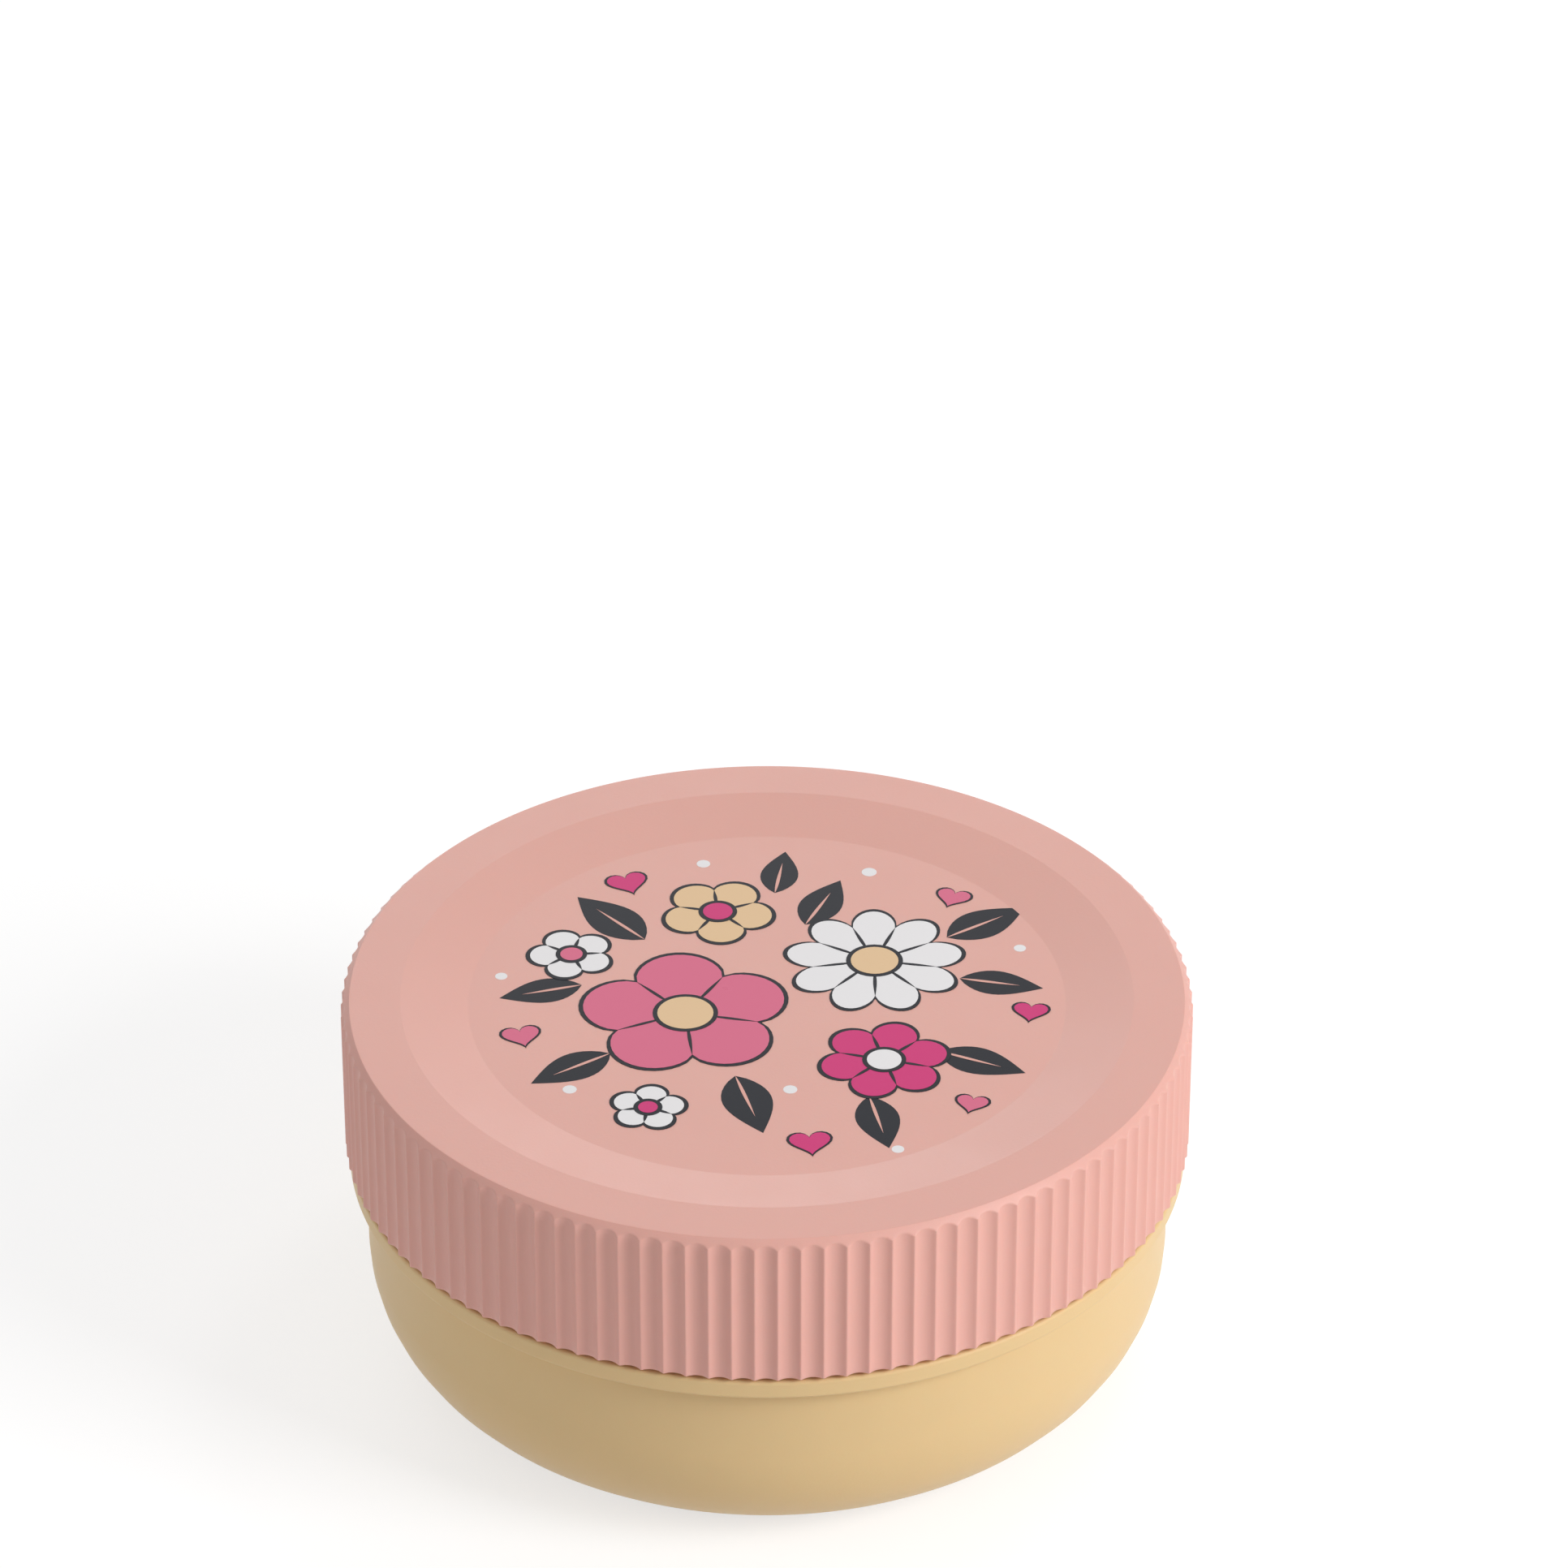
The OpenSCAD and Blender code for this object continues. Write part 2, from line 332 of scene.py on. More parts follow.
def srgb(red, green, blue):
    linear = [math.pow((c / 255 + 0.055) / 1.055, 2.4) if c > 10 else c / 255 / 12.92 for c in (red, green, blue)]
    return (*linear, 1.0)


def buildMouldGroup():
    # the fine grain and faint cloudiness of moulded plastic, shared by every material
    tree, given, result = newTree(
        "mouldSurface", "ShaderNodeTree",
        {"Color": "Color", "Mottle": "Float", "Roughness": "Float", "Grain Scale": "Float"},
        {"Color": "Color", "Roughness": "Float", "Height": "Float"},
    )
    place = addNode(tree, "ShaderNodeTexCoord").outputs["Object"]

    def noise(scale, detail):
        return addNode(tree, "ShaderNodeTexNoise", {"Vector": place, "Scale": scale, "Detail": detail}).outputs[0]

    cloud = noise(mould["cloudScale"], mould["cloudDetail"])
    grain = noise(given["Grain Scale"], mould["grainDetail"])
    scuff = noise(mould["scuffScale"], mould["scuffDetail"])
    swing = calc(tree, "MULTIPLY", calc(tree, "SUBTRACT", cloud, 0.5), given["Mottle"])
    value = calc(tree, "ADD", 1.0, swing)
    shade = addNode(tree, "ShaderNodeHueSaturation", {"Value": value, "Color": given["Color"]})
    tree.links.new(shade.outputs[0], result["Color"])
    patch = calc(tree, "MULTIPLY", calc(tree, "SUBTRACT", scuff, 0.5), mould["scuffSwing"])
    tree.links.new(calc(tree, "ADD", given["Roughness"], patch), result["Roughness"])
    tree.links.new(grain, result["Height"])
    return tree


def buildInsideGroup():
    # white within an upright cylinder around the axis, above a height
    tree, given, result = newTree(
        "insideCylinder", "ShaderNodeTree", {"Radius": "Float", "Height": "Float"}, {"Mask": "Float"},
    )
    position = addNode(tree, "ShaderNodeTexCoord").outputs["Object"]
    place = addNode(tree, "ShaderNodeSeparateXYZ", {0: position}).outputs
    within = calc(tree, "LESS_THAN", fromAxis(tree, place), given["Radius"])
    above = calc(tree, "GREATER_THAN", place[2], given["Height"])
    tree.links.new(calc(tree, "MULTIPLY", within, above), result["Mask"])
    return tree


mouldGroup = buildMouldGroup()
insideGroup = buildInsideGroup()


def plasticMaterial(name, color, roughness, mottle=0.06, grainScale=2600.0, grainDepth=0.012, **uniform):
    material = bpy.data.materials.new(name)
    material.use_nodes = True
    tree = material.node_tree
    shader = tree.nodes["Principled BSDF"]
    surface = addNode(tree, "ShaderNodeGroup", {
        "Color": color, "Mottle": mottle, "Roughness": roughness, "Grain Scale": grainScale,
    }, node_tree=mouldGroup)
    bump = addNode(tree, "ShaderNodeBump", {
        "Height": surface.outputs["Height"], "Distance": grainDepth * mm, "Strength": 1.0,
    })
    tree.links.new(surface.outputs["Color"], shader.inputs["Base Color"])
    tree.links.new(surface.outputs["Roughness"], shader.inputs["Roughness"])
    tree.links.new(bump.outputs[0], shader.inputs["Normal"])
    for label, value in uniform.items():
        shader.inputs[label.replace("_", " ")].default_value = value
    return material, surface


finishes = {
    "blush": srgb(228, 172, 160),
    "honey": srgb(227, 196, 145),
    # painted bounce light: the same plastic as honey, made deeper for the warm light that bounces about inside the
    # tub
    "paintedBounceAmber": srgb(228, 188, 128),
    "milk": srgb(252, 243, 244),
    "charcoal": srgb(28, 30, 38),
    "white": srgb(238, 236, 237),
    "rose": srgb(221, 112, 142),
    "magenta": srgb(212, 58, 124),
    "sand": srgb(232, 198, 156),
}

lidPlastic, _ = plasticMaterial(
    "lidPlastic", finishes["blush"], roughness=0.42, Subsurface_Weight=0.1, Subsurface_Scale=0.0015,
    Specular_IOR_Level=0.34,
)
sealSilicone, _ = plasticMaterial(
    "sealSilicone", finishes["milk"], roughness=0.32, mottle=0.03, Subsurface_Weight=0.5, Subsurface_Scale=0.0012,
    Subsurface_Radius=(1.0, 0.9, 0.9), Transmission_Weight=0.08, IOR=1.41,
)
tubPlastic, tubSurface = plasticMaterial(
    "tubPlastic", finishes["honey"], roughness=0.42, Subsurface_Weight=0.1, Subsurface_Scale=0.0015,
    Specular_IOR_Level=0.28, Coat_Roughness=0.06,
)
polish = {
    "cavityRadius": 48.9,  # the whole inside is painted a deeper colour, standing in for the warm light bouncing about the hollow, and has a faint shine
    "cavityCoat": 0.2,
    "floorRadius": 41.95,  # the polished floor reflects sharply
    "floorCoat": 0.75,
    "lowest": 7.0,
}


def polishInside():
    tree = tubPlastic.node_tree
    cavity, floor = (
        addNode(tree, "ShaderNodeGroup", {
            "Radius": polish[radius] * mm, "Height": polish["lowest"] * mm,
        }, node_tree=insideGroup).outputs["Mask"]
        for radius in ("cavityRadius", "floorRadius")
    )
    # sockets 6 and 7 are the two colours that are mixed
    # the cavity mask paints the deeper colour over the whole inside, in place of the light bouncing about the hollow
    paintedBounceTint = addNode(
        tree, "ShaderNodeMix", {0: cavity, 6: finishes["honey"], 7: finishes["paintedBounceAmber"]}, data_type="RGBA",
    )
    tree.links.new(paintedBounceTint.outputs[2], tubSurface.inputs["Color"])
    cavityShine = calc(tree, "MULTIPLY", cavity, polish["cavityCoat"])
    floorShine = calc(tree, "MULTIPLY", floor, polish["floorCoat"])
    shine = calc(tree, "ADD", cavityShine, floorShine)
    tree.links.new(shine, tree.nodes["Principled BSDF"].inputs["Coat Weight"])


polishInside()
print("materials made")


# Tub

tub = {
    "rimHeight": tubHigh.z,
    "neckRadius": 50.5,
    "mouthRadius": 48.5,
    "bowlRadius": 52.4,
    "bowlRound": 17.0,
    "floorRound": 11.0,
    "floorHeight": 8.0,
    "glossRadius": 42.0,  # inside this the floor is polished, a hair lower than the wall's round
    "glossStep": 0.2,
    "glossBlend": 0.012,  # angle on the wall's round over which the step falls, either side
    "markRadius": 35.4,
    "markWidth": 0.1,
    "markDepth": 0.04,
    "hollowHeight": 5.4,
    "hollowRadius": 31.0,
    "hollowRound": 2.0,
    "standRound": 0.4,
    "collarRadius": 54.5,
    "collarThickness": 2.6,
    "collarRound": 0.5,
    "collarUnderRound": 0.4,
    "collarFillet": 1.2,
    "neckHeight": 17.1,
    "rimRound": 0.5,
}
thread = {
    "lead": 5.3,
    "turns": 1.5,
    "proud": 1.95,
    "land": 0.8,
    "fall": 0.4,  # fall of the top flank for each mm that it goes out
    "slope": 1.5,  # fall of the underside for each mm that it goes in
    "root": 0.35,
    "topRound": 0.08,
    "edgeRound": 0.16,
    "topDepth": 4.9,
    "topAngle": 256,
    "fadeTurns": 7 / 360,
    "sunk": 0.1,
    "pointsPerTurn": 540,
}


def ribObject(name, corners, wallRadius, side, turns, topHeight, topAngle, material):
    # corners are (radius, drop below the rib's top face, round); the sweep turns the outline upside down
    points = roundedPath(corners, closed=True, arcSteps=4, support=0.1)
    shape = bmesh.new()
    verts = [shape.verts.new(((radius - wallRadius) * mm, drop * mm, 0)) for radius, drop in points]
    for i, vert in enumerate(verts):
        shape.edges.new((verts[i - 1], vert))
    rib = makeObject(name, shape)
    runTree(rib, threadTree, {
        "Turns": turns, "Lead": thread["lead"] * mm, "Wall Radius": wallRadius * mm, "Side": float(side),
        "Sunk": thread["sunk"] * mm, "Fade Turns": thread["fadeTurns"], "Top Height": topHeight * mm,
        "Top Angle": math.radians(topAngle), "Points Per Turn": thread["pointsPerTurn"], "Material": material,
    })
    faceOutwards(rib.data)
    return rib


def floorRoundPoints(angles, drop=0.0):
    # points on the round between the inner wall and the floor
    bend = tub["floorRound"]
    middle = tub["mouthRadius"] - bend
    centreHeight = tub["floorHeight"] + bend
    return [Vector((middle + bend * math.cos(a), centreHeight - bend * math.sin(a) - drop)) for a in angles]


def cavityPath():
    # down the inner wall and over the round to the floor, with the step and the fine ring in the floor
    rim, floor, bend = tub["rimHeight"], tub["floorHeight"], tub["floorRound"]
    path = roundedPath([
        (tub["neckRadius"], rim, 0),
        (tub["mouthRadius"], rim, tub["rimRound"]),
        (tub["mouthRadius"], floor + bend, 0),
    ], arcSteps=8)[1:]
    gloss = math.acos((tub["glossRadius"] - (tub["mouthRadius"] - bend)) / bend)
    blend, drop = tub["glossBlend"], tub["glossStep"]
    above = [gloss * k / 12 for k in range(1, 12)] + [gloss - blend]
    below = [gloss + blend] + [gloss + (math.pi / 2 - gloss) * k / 10 for k in range(1, 11)]
    path += floorRoundPoints(above) + floorRoundPoints(below, drop)
    mark, width, depth = tub["markRadius"], tub["markWidth"], tub["markDepth"]
    for radius, sunk in ((mark + width, 0), (mark, depth), (mark - width, 0), (mark - 3 * width, 0), (0, 0)):
        path.append(Vector((radius, floor - drop - sunk)))
    return path


def makeTub():
    rim = tub["rimHeight"]
    collarTop = rim - tub["neckHeight"]
    collarBottom = collarTop - tub["collarThickness"]
    outside = roundedPath([
        (0, tub["hollowHeight"], 0),
        (tub["hollowRadius"], tub["hollowHeight"], tub["hollowRound"]),
        (tub["hollowRadius"], 0, tub["standRound"]),
        (tub["bowlRadius"], 0, tub["bowlRound"]),
        (tub["bowlRadius"], collarBottom, tub["collarUnderRound"]),
        (tub["collarRadius"], collarBottom, tub["collarRound"]),
        (tub["collarRadius"], collarTop, tub["collarRound"]),
        (tub["neckRadius"], collarTop, tub["collarFillet"]),
        (tub["neckRadius"], rim, tub["rimRound"]),
        (tub["mouthRadius"], rim, 0),
    ], arcSteps=10)[:-1]
    body = latheObject("tubShell", outside + cavityPath())
    body.data.materials.append(tubPlastic)
    wall = tub["neckRadius"]
    proud, land, root = thread["proud"], thread["land"], thread["root"]
    crest = proud * thread["fall"]
    rib = ribObject("neckRib", [
        (wall - root, -root * thread["fall"], 0),
        (wall + proud, crest, thread["topRound"]),
        (wall + proud, crest + land, thread["edgeRound"]),
        (wall - root, crest + land + (proud + root) * thread["slope"], 0),
    ], wall, 1, thread["turns"], rim - thread["topDepth"], thread["topAngle"], tubPlastic)
    joinInto(body, rib)
    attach(body, "tub_body")
    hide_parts("tub")


makeTub()
print("tub made")


# Seal ring

seal = {
    "top": sealHigh.z,
    "outerRadius": 51.2,
    "innerRadius": 46.0,
    "thickness": 2.4,
    "skirt": 0.6,
    "round": 0.4,
    "innerLowRound": 0.3,
    "seatGap": 0.1,
    "seatRound": 0.1,
    "skirtInnerRound": 0.12,
    "skirtOuterRound": 0.2,
    "tabAngle": 155.5,
    "tabSpan": 23.0,
    "tabReach": 5.4,
    "tabThickness": 1.2,
    "tabRound": 0.45,
    "tabDrop": 1.7,
    "webThickness": 1.4,
    "webRadius": 47.8,
    "webSteps": 16,
    "tongueSunk": 0.1,  # how far its back edge lies within the web
    "tongueMargin": 0.8,  # degrees by which that edge is shorter than the web, at either end
    "tongueSteps": 24,
    "sharpFrom": 50,
}


def tabOutlines():
    # the web that hangs from the ring and the half-moon tongue, as if the tab pointed along +X
    half, steps = seal["tabSpan"] / 2, seal["webSteps"]
    web = (arcPoints(seal["webRadius"], (0, 0), -half, half, steps)
           + arcPoints(seal["webRadius"] - seal["webThickness"], (0, 0), half, -half, steps))
    back, backEnd = seal["webRadius"] - seal["tongueSunk"], half - seal["tongueMargin"]
    chord = seal["innerRadius"] * math.sin(math.radians(half))
    depth = seal["innerRadius"] * math.cos(math.radians(half))
    radius = (chord ** 2 + seal["tabReach"] ** 2) / 2 / seal["tabReach"]
    middle = depth - seal["tabReach"] + radius
    edge = math.degrees(math.atan2(chord, middle - depth))
    tongue = (arcPoints(radius, (middle, 0), 180 - edge, 180 + edge, seal["tongueSteps"])
              + arcPoints(back, (0, 0), -backEnd, backEnd, steps))
    return web, tongue


def makeSeal():
    rim = seal["top"] - seal["thickness"]
    seat = tub["neckRadius"] + seal["seatGap"]
    ring = latheObject("sealRing", roundedPath([
        (seal["innerRadius"], rim, seal["innerLowRound"]),
        (seat, rim, seal["seatRound"]),
        (seat, rim - seal["skirt"], seal["skirtInnerRound"]),
        (seal["outerRadius"], rim - seal["skirt"], seal["skirtOuterRound"]),
        (seal["outerRadius"], seal["top"], seal["round"]),
        (seal["innerRadius"], seal["top"], seal["round"]),
    ], closed=True, arcSteps=5), closed=True)
    tabTop = rim - seal["tabDrop"]
    web, tongue = tabOutlines()
    for outline, low, high, bend in (
        (web, tabTop - seal["tabThickness"] / 2, rim + seal["thickness"] / 2, 0.0),
        (tongue, tabTop - seal["tabThickness"], tabTop, seal["tabRound"]),
    ):
        shape = bmesh.new()
        addPlate(shape, turned(outline, seal["tabAngle"]), low, high, bend)
        bmesh.ops.recalc_face_normals(shape, faces=shape.faces)
        fuse(ring, makeObject("tabPart", shape))
    ring.data.materials.clear()
    ring.data.materials.append(sealSilicone)
    ring.data.set_sharp_from_angle(angle=math.radians(seal["sharpFrom"]))
    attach(ring, "seal_body")
    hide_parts("seal_ring")


makeSeal()
print("seal ring made")


# Lid

lid = {
    "top": lidHigh.z,
    "skirtBottom": lidLow.z,
    "radius": 55.0,
    "bevel": 1.1,
    "marginStart": 0.3,  # first row of points on the flat margin, inward of the bevel
    "fluteCount": 120,
    "fluteRadius": 2.1,
    "fluteDepth": 0.5,
    "ridgeRound": 0.09,
    "edgeRound": 0.15,
    "lipRound": 0.2,
    "innerLip": 0.3,
    "innerLipRound": 0.25,
    "dishRadius": 47.3,
    "panelRadius": 38.6,
    "panelDepth": 1.4,
    "panelThickness": 2.0,
    "panelUnderRound": 0.5,
    "creaseRound": 0.8,
    "wallRadius": 52.75,
    "wallRound": 0.4,
    "plugRadius": 45.8,
    "plugThickness": 1.2,
    "plugHeight": 1.8,
    "plugInnerDrop": 0.2,
    "plugRound": 0.3,
    "plugFillet": 0.2,
    "ceiling": 50.95,
    "ribRadius": 51.5,
    "ribRoot": 0.45,
    "ribRound": 0.25,
    "ribTurns": 0.85,
    "ribBehind": 100,  # degrees that the lid's rib starts behind the neck's
    "ribGap": 0.3,
    # rows of points up the outside: heights over the lower edge, then close rows where the arches are
    "wallRows": (0.6, 7, 14),
    "archLead": 0.4,
    "archStart": 0.12,
    "archStep": 0.05,
    "archRows": 17,
    # columns across half a flute, closer together towards the ridge
    "columns": (0.3, 0.55, 0.75, 0.88, 0.94, 0.975, 1),
    "weld": 0.004,
}


def softMin(a, b, blend):
    share = max(0.0, min(1.0, 0.5 + 0.5 * (b - a) / blend))
    return b + (a - b) * share - blend * share * (1 - share)


def skirtRadius(angle, height):
    # the lid's outside: hollow flutes scooped out of a plain wall, running out through the bevel in arches
    bevel = lid["radius"] - max(0.0, height - (lid["top"] - lid["bevel"]))
    centre = lid["radius"] - lid["fluteDepth"] + lid["fluteRadius"]
    aside = centre * math.sin(angle)
    hollow = centre * math.cos(angle) - math.sqrt(lid["fluteRadius"] ** 2 - aside ** 2)
    return softMin(bevel, hollow, lid["ridgeRound"])


def skirtRows():
    # height and inset of each row of points up the lid's outside, with a round at its lower and upper edge
    top, bottom, lip, edge = lid["top"], lid["skirtBottom"], lid["lipRound"], lid["edgeRound"]
    arch = top - lid["bevel"]
    lipSteps, edgeSteps, eighth = 3, 4, math.pi / 4
    rows = []
    for k in reversed(range(lipSteps + 1)):
        bend = math.pi / 2 * k / lipSteps
        rows.append((bottom + lip * (1 - math.sin(bend)), lip * (1 - math.cos(bend))))
    rows += [(bottom + height, 0.0) for height in lid["wallRows"]] + [(arch - lid["archLead"], 0.0)]
    rows += [(arch - lid["archStart"] + lid["archStep"] * k, 0.0) for k in range(lid["archRows"])]
    start = top - edge * (1 - math.cos(eighth))
    for k in range(edgeSteps + 1):
        bend = eighth * (1 - k / edgeSteps)
        height = top - edge * (1 - math.cos(bend))
        rows.append((height, edge * (math.sin(eighth) - math.sin(bend)) - (height - start)))
    return rows


def makeLidSlice():
    # one flute's share of the whole lid, as a wedge with open sides
    half = math.pi / lid["fluteCount"]
    fine = [-half * share for share in reversed(lid["columns"])] + [0.0] + [half * share for share in lid["columns"]]
    coarse = [-half, 0.0, half]
    shape = bmesh.new()
    outer = [
        [shape.verts.new(around(skirtRadius(a, height) - inset, a, height)) for a in fine]
        for height, inset in skirtRows()
    ]

    def coarseRows(corners):
        path = roundedPath(corners, support=0.15)
        return [ringOfVerts(shape, radius, height, coarse) for radius, height in path]

    top, bottom, ceiling = lid["top"], lid["skirtBottom"], lid["ceiling"]
    panelTop = top - lid["panelDepth"]
    topRows = coarseRows([
        (lid["radius"] - lid["bevel"] - lid["marginStart"], top, 0),
        (lid["dishRadius"], top, lid["creaseRound"]),
        (lid["panelRadius"], panelTop, lid["creaseRound"]),
        (0, panelTop, 0),
    ])
    plugOut, plugIn = lid["plugRadius"], lid["plugRadius"] - lid["plugThickness"]
    plugEnd, plugRound = ceiling - lid["plugHeight"], lid["plugRound"]
    underRows = coarseRows([
        (0, panelTop - lid["panelThickness"], 0),
        (lid["panelRadius"], panelTop - lid["panelThickness"], lid["panelUnderRound"]),
        (plugIn, ceiling - lid["plugInnerDrop"], plugRound),
        (plugIn, plugEnd, plugRound),
        (plugOut, plugEnd, plugRound),
        (plugOut, ceiling, lid["plugFillet"]),
        (lid["wallRadius"], ceiling, lid["wallRound"]),
        (lid["wallRadius"], bottom, lid["innerLipRound"]),
        (lid["wallRadius"] + lid["innerLip"], bottom, 0),
    ])
    for rows in (outer, topRows, underRows):
        for rowA, rowB in zip(rows, rows[1:]):
            bridge(shape, rowA, rowB)
    shape.faces.new(outer[-1] + topRows[0][::-1])
    shape.faces.new(outer[0] + underRows[-1][::-1])
    return makeObject("lidShell", shape)


def makeLid():
    body = makeLidSlice()
    runTree(body, rotaryTree, {"Count": lid["fluteCount"], "Weld": lid["weld"] * mm, "Material": lidPlastic})
    print("open edges on the lid:", faceOutwards(body.data))
    body.data.shade_smooth()
    # the rib's top flank runs parallel to the underside of the neck's rib, and its underside to that rib's top
    wall, tip = lid["wallRadius"], lid["ribRadius"]
    root = wall + lid["ribRoot"]
    slope, gap = thread["slope"], lid["ribGap"]
    crest = thread["proud"] * thread["fall"] + thread["land"]
    tipTop = crest + (tub["neckRadius"] + thread["proud"] - tip) * slope + gap * math.hypot(1, slope)
    rootTop = tipTop - (root - tip) * slope
    foot = thread["lead"] + (tip - tub["neckRadius"]) * thread["fall"] - gap
    topHeight = tub["rimHeight"] - thread["topDepth"] - thread["lead"] * lid["ribBehind"] / 360
    rib = ribObject("lidRib", [
        (root, rootTop, 0),
        (tip, tipTop, lid["ribRound"]),
        (tip, foot, lid["ribRound"]),
        (root, foot, 0),
    ], wall, -1, lid["ribTurns"], topHeight, thread["topAngle"] - lid["ribBehind"], lidPlastic)
    joinInto(body, rib)
    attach(body, "lid_body")
    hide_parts("lid")


makeLid()
print("lid made")


# Printed flowers, leaves and hearts on the lid's panel

printed = {
    "sunk": 0.05,
    "layer": 0.02,
    "line": 0.6,
    "petalDip": 0.3,
    "petalFullness": 0.75,  # a lower power is a fuller outline
    "petalPoints": 16,
    "spokeLength": 0.5,  # this and the next three are shares of a flower's radius or a leaf's length
    "spokeStart": 0.22,
    "middleSize": 0.27,
    "veinLength": 0.72,
    "spokeWidth": 0.48,
    "veinWidth": 0.45,
    "leafFullness": 0.8,
    "leafSteps": 14,
    "heartLine": 0.35,
    "heartPoints": 32,
    "middlePoints": 36,
    "dotPoints": 24,
    "ink": {"roughness": 0.3, "mottle": 0.02, "grainDepth": 0.004, "Specular_IOR_Level": 0.12},
    # x, y, radius, petals, turn, petal colour, middle colour
    "flowers": [
        (-10.5, -3.0, 13.4, 5, 24, "rose", "sand"),
        (14.0, 9.0, 11.5, 9, 10, "white", "sand"),
        (15.0, -13.5, 8.2, 6, 15, "magenta", "white"),
        (-6.5, 20.5, 7.2, 5, -12, "sand", "magenta"),
        (-25.5, 10.5, 5.4, 5, 40, "white", "rose"),
        (-15.0, -24.0, 4.6, 5, 10, "white", "magenta"),
    ],
    # x, y of the stem end, length, width, direction
    "leaves": [
        (-16.0, 14.0, 13.5, 6.6, 132), (-24.0, 3.5, 11.0, 5.4, 196), (1.0, 25.0, 10.0, 5.0, 82),
        (5.0, 17.5, 11.5, 5.6, 66), (23.5, 14.5, 12.5, 6.2, 34), (25.0, 5.0, 11.0, 5.4, -12),
        (22.0, -11.5, 12.0, 5.8, -24), (13.0, -21.5, 11.5, 5.6, -78), (-4.0, -17.0, 13.0, 6.4, -74),
        (-20.0, -12.0, 12.0, 5.8, 214),
    ],
    # x, y, size, turn, colour
    "hearts": [
        (-18.5, 27.5, 2.6, 18, "magenta"), (24.5, 24.0, 2.2, -20, "rose"), (34.0, -2.5, 2.2, -8, "magenta"),
        (5.5, -31.5, 2.6, 6, "magenta"), (-31.5, -8.0, 2.4, 14, "rose"), (26.0, -23.0, 2.0, -14, "rose"),
    ],
    # x, y, radius
    "dots": [
        (-8.5, 32.0, 0.9), (13.5, 30.0, 1.0), (-34.5, 5.5, 0.8), (33.0, 12.0, 0.8), (-25.0, -20.0, 0.9),
        (16.5, -33.0, 0.8), (3.0, -20.0, 0.9),
    ],
}


def discOutline(radius, centre, points):
    return arcPoints(radius, centre, 0, 360 - 360 / points, points - 1)


def flowerOutline(radius, petals, turn, growth=0.0):
    points = []
    count = petals * printed["petalPoints"]
    for k in range(count):
        angle = 2 * math.pi * k / count
        petal = abs(math.cos(petals * angle / 2)) ** printed["petalFullness"]
        reach = radius * (1 - printed["petalDip"] * (1 - petal)) + growth
        points.append(Vector((reach * math.cos(angle), reach * math.sin(angle))))
    return turned(points, turn)


def leafOutline(length, width, direction):
    steps = printed["leafSteps"]
    upper, lower = [], []
    for share in (k / steps for k in range(steps + 1)):
        aside = width / 2 * math.sin(math.pi * share ** printed["leafFullness"])
        upper.append(Vector((length * share, aside)))
        lower.append(Vector((length * share, -aside)))
    return turned(upper[:-1] + lower[:0:-1], direction)


def heartOutline(size, growth=0.0):
    points = []
    count = printed["heartPoints"]
    for k in range(count):
        t = 2 * math.pi * k / count
        across = math.sin(t) ** 3
        upward = (13 * math.cos(t) - 5 * math.cos(2 * t) - 2 * math.cos(3 * t) - math.cos(4 * t)) / 16
        points.append(Vector((across, upward)) * (size + growth))
    return points


def makePrint():
    base = lid["top"] - lid["panelDepth"]
    line = printed["line"]
    plates = {}

    def plate(finish, layer, outline, x=0.0, y=0.0):
        moved = [point + Vector((x, y)) for point in outline]
        plates.setdefault(finish, []).append((moved, base + layer * printed["layer"]))

    for x, y, length, width, direction in printed["leaves"]:
        plate("charcoal", 1, leafOutline(length, width, direction), x, y)
        plate("blush", 2, leafOutline(length * printed["veinLength"], printed["veinWidth"], direction), x, y)
    for x, y, radius, petals, turn, fill, middle in printed["flowers"]:
        plate("charcoal", 3, flowerOutline(radius, petals, turn, line), x, y)
        plate(fill, 4, flowerOutline(radius, petals, turn), x, y)
        for k in range(petals):
            direction = turn + 360 * (k + 0.5) / petals
            spoke = leafOutline(radius * printed["spokeLength"], printed["spokeWidth"], direction)
            inner = turned([Vector((radius * printed["spokeStart"], 0))], direction)[0]
            plate("charcoal", 5, spoke, x + inner.x, y + inner.y)
        core = radius * printed["middleSize"]
        plate("charcoal", 6, discOutline(core + line, (x, y), printed["middlePoints"]))
        plate(middle, 7, discOutline(core, (x, y), printed["middlePoints"]))
    for x, y, size, turn, fill in printed["hearts"]:
        plate("charcoal", 3, turned(heartOutline(size, printed["heartLine"]), turn), x, y)
        plate(fill, 4, turned(heartOutline(size), turn), x, y)
    for x, y, radius in printed["dots"]:
        plate("white", 1, discOutline(radius, (x, y), printed["dotPoints"]))

    for finish, pieces in plates.items():
        shape = bmesh.new()
        for outline, high in pieces:
            addPlate(shape, outline, base - printed["sunk"], high)
        bmesh.ops.recalc_face_normals(shape, faces=shape.faces)
        ink = makeObject("print" + finish.capitalize(), shape)
        ink.data.shade_flat()
        material, _ = plasticMaterial("ink" + finish.capitalize(), finishes[finish], **printed["ink"])
        ink.data.materials.append(material)
        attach(ink, "lid_body")


makePrint()
print("print made")


# Camera, light and floor

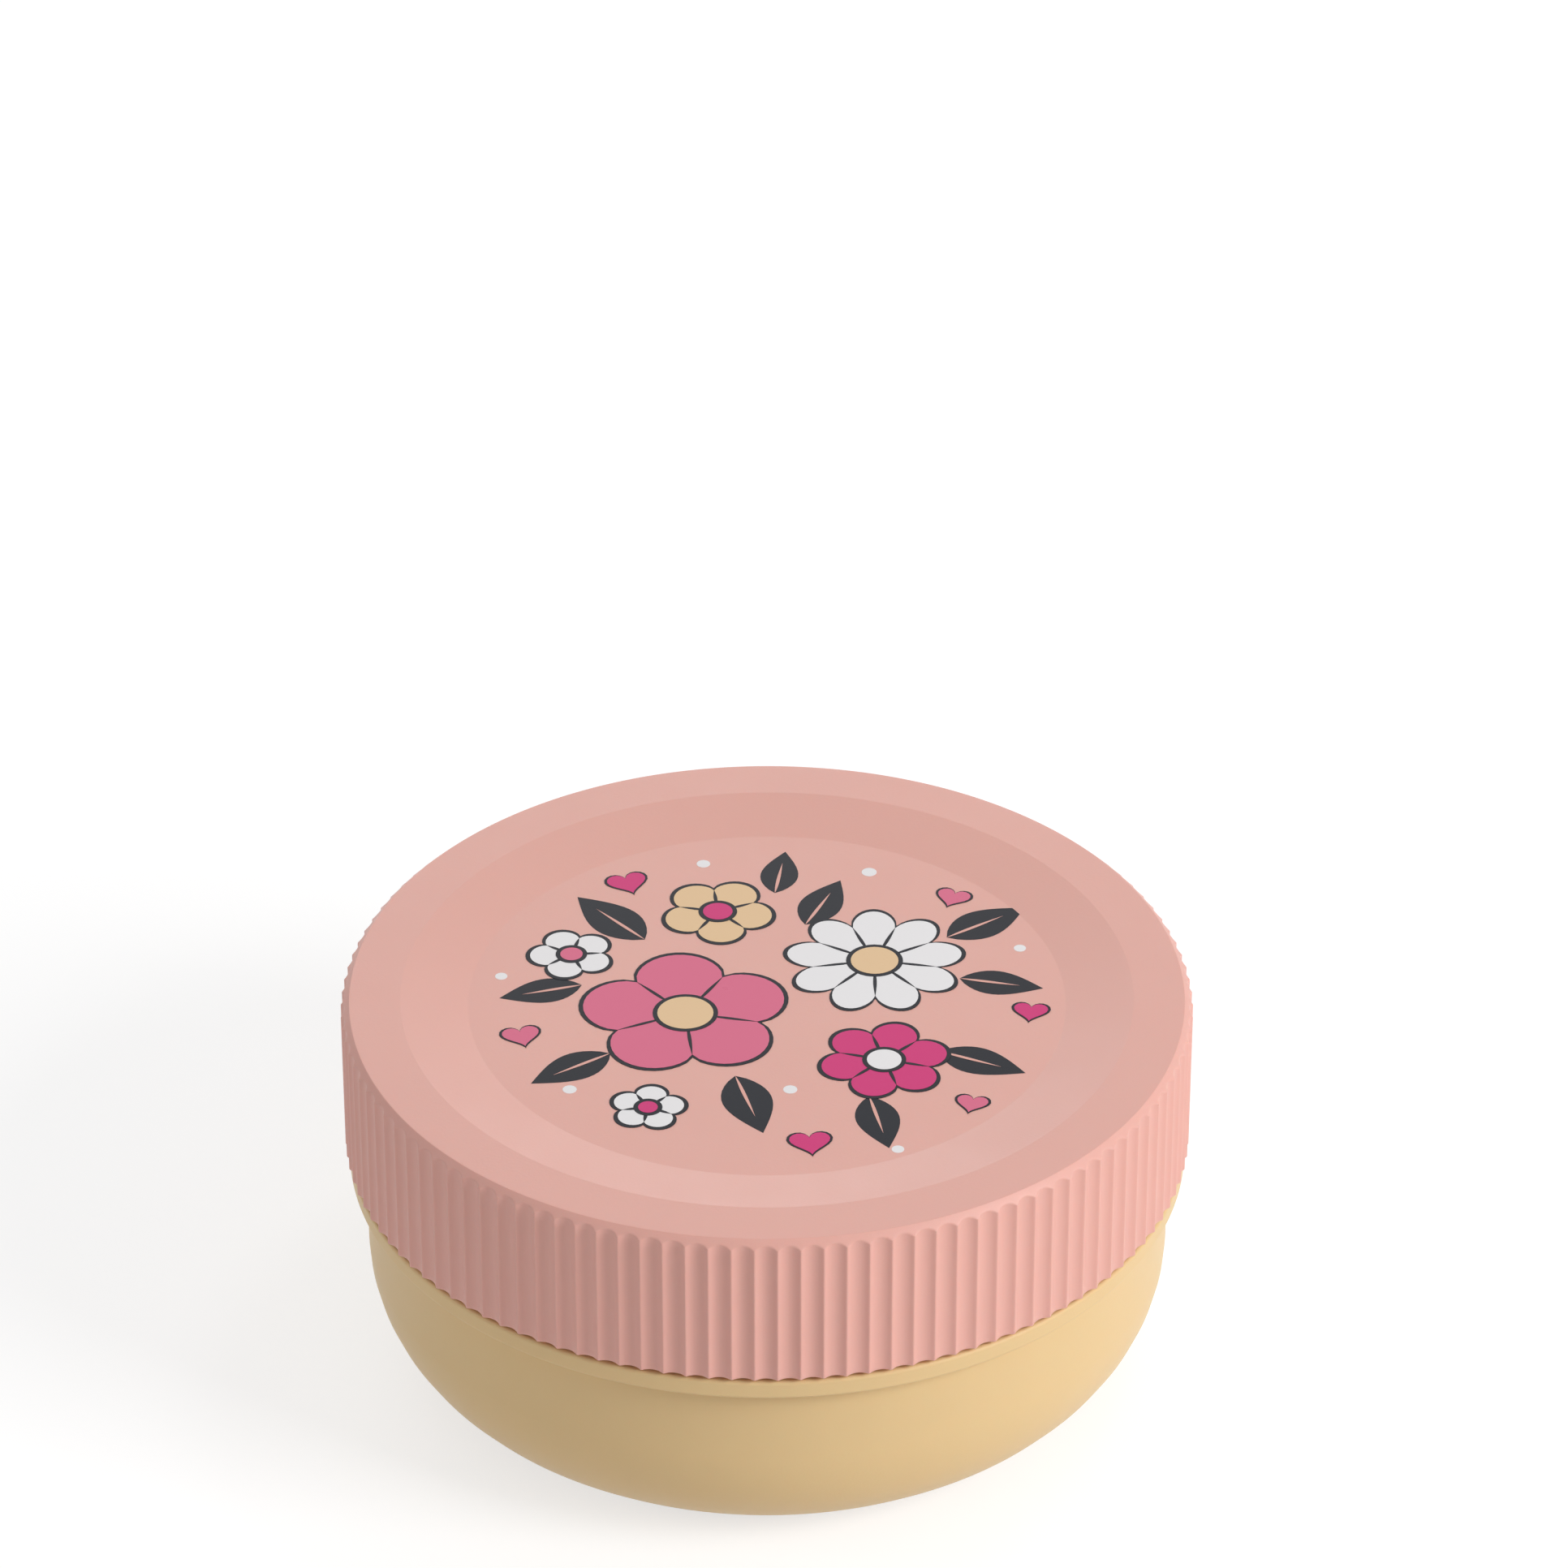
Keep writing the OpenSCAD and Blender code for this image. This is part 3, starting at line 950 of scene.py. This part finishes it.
view = {
    "elevation": 32.8,
    "lens": 170.0,
    "sensor": 36.0,
    "imagePixels": 1932,
    "rimPixel": (945, 1258),  # where the middle of the tub's rim lies in the picture
    "pixelsPerMillimetre": 9.52,
}
studio = {  # places and sizes in metres
    "target": (0, 0, 0.05),
    # name, place, size, watts
    "lamps": [
        ("keyLight", (0.908, -0.483, 0.668), 0.5, 9.2),
        ("backLight", (-0.22, 1.23, 0.41), 0.8, 3.6),
        ("leftLight", (-1.12, -0.05, 0.45), 0.25, 0.8),
        ("topLight", (0.39, 0.36, 1.13), 0.24, 0.9),
    ],
    "worldLight": 0.42,
    "floorSize": 3.0,
    "floorDrop": 0.0002,
    "floorRoughness": 0.9,
    "floorBounce": 0.8,
    "floorTone": 0.45,  # the part of the seen floor that takes light and shadow
    "glow": (0.66, 0.84),  # and the part that is always bright, near and far
    "glowReach": (0.5, 1.6),
}


def makeCamera():
    rise = math.radians(view["elevation"])
    scale = view["pixelsPerMillimetre"]
    across = (view["imagePixels"] / 2 - view["rimPixel"][0]) / scale
    upward = (view["rimPixel"][1] - view["imagePixels"] / 2) / scale
    back = Vector((0, -math.cos(rise), math.sin(rise)))
    up = Vector((0, math.sin(rise), math.cos(rise)))
    aim = Vector((across, 0, tub["rimHeight"])) + up * upward
    distance = view["lens"] / view["sensor"] * view["imagePixels"] / scale
    lens = bpy.data.cameras.new("camera")
    lens.lens = view["lens"]
    lens.sensor_width = view["sensor"]
    lens.clip_start = 0.01
    camera = bpy.data.objects.new("camera", lens)
    camera.location = (aim + back * distance) * mm
    camera.rotation_euler = back.to_track_quat("Z", "Y").to_euler()
    bpy.context.scene.collection.objects.link(camera)
    bpy.context.scene.camera = camera


def areaLight(name, place, size, power):
    lamp = bpy.data.lights.new(name, "AREA")
    lamp.size = size
    lamp.energy = power
    holder = bpy.data.objects.new(name, lamp)
    holder.location = place
    holder.rotation_euler = (Vector(place) - Vector(studio["target"])).to_track_quat("Z", "Y").to_euler()
    bpy.context.scene.collection.objects.link(holder)


def grey(level):
    return (level, level, level, 1)


def seenDirectly(tree):
    # 1 for rays from the camera, also those that come by way of gloss or a clear piece
    rays = addNode(tree, "ShaderNodeLightPath").outputs
    mirrored = calc(tree, "MAXIMUM", rays["Is Glossy Ray"], rays["Is Transmission Ray"])
    return calc(tree, "MAXIMUM", rays["Is Camera Ray"], mirrored)


def makeWorld():
    world = bpy.data.worlds.new("studio")
    world.use_nodes = True
    bpy.context.scene.world = world
    tree = world.node_tree
    tree.nodes.clear()
    light = addNode(tree, "ShaderNodeBackground", {"Color": grey(1), "Strength": studio["worldLight"]})
    shown = addNode(tree, "ShaderNodeBackground", {"Color": grey(1), "Strength": 1.0})
    mixed = addNode(tree, "ShaderNodeMixShader", {0: seenDirectly(tree), 1: light.outputs[0], 2: shown.outputs[0]})
    addNode(tree, "ShaderNodeOutputWorld", {"Surface": mixed.outputs[0]})


def makeFloor():
    shape = bmesh.new()
    bmesh.ops.create_grid(shape, x_segments=1, y_segments=1, size=studio["floorSize"])
    floor = makeObject("floor", shape)
    floor.location.z = -studio["floorDrop"]
    material = bpy.data.materials.new("floorPaper")
    material.use_nodes = True
    tree = material.node_tree
    paper = tree.nodes["Principled BSDF"]
    paper.inputs["Base Color"].default_value = grey(studio["floorBounce"])
    paper.inputs["Roughness"].default_value = studio["floorRoughness"]
    shown = addNode(tree, "ShaderNodeBsdfDiffuse", {"Color": grey(studio["floorTone"])})
    # the lamps' light falls off towards the horizon, and the glow rises there by as much
    place = addNode(tree, "ShaderNodeTexCoord").outputs["Object"]
    away = addNode(tree, "ShaderNodeVectorMath", {0: place}, operation="LENGTH").outputs["Value"]
    level = addNode(tree, "ShaderNodeMapRange", {
        "Value": away, "From Min": studio["glowReach"][0], "From Max": studio["glowReach"][1],
        "To Min": studio["glow"][0], "To Max": studio["glow"][1],
    })
    glow = addNode(tree, "ShaderNodeEmission", {"Color": level.outputs["Result"], "Strength": 1.0})
    bright = addNode(tree, "ShaderNodeAddShader", {0: shown.outputs[0], 1: glow.outputs[0]})
    blend = addNode(tree, "ShaderNodeMixShader", {0: seenDirectly(tree), 1: paper.outputs[0], 2: bright.outputs[0]})
    tree.links.new(blend.outputs[0], tree.nodes["Material Output"].inputs["Surface"])
    floor.data.materials.append(material)


makeCamera()
for name, place, size, power in studio["lamps"]:
    areaLight(name, place, size, power)
makeWorld()
makeFloor()
bpy.context.scene.view_settings.view_transform = "Standard"
print("camera and studio made")
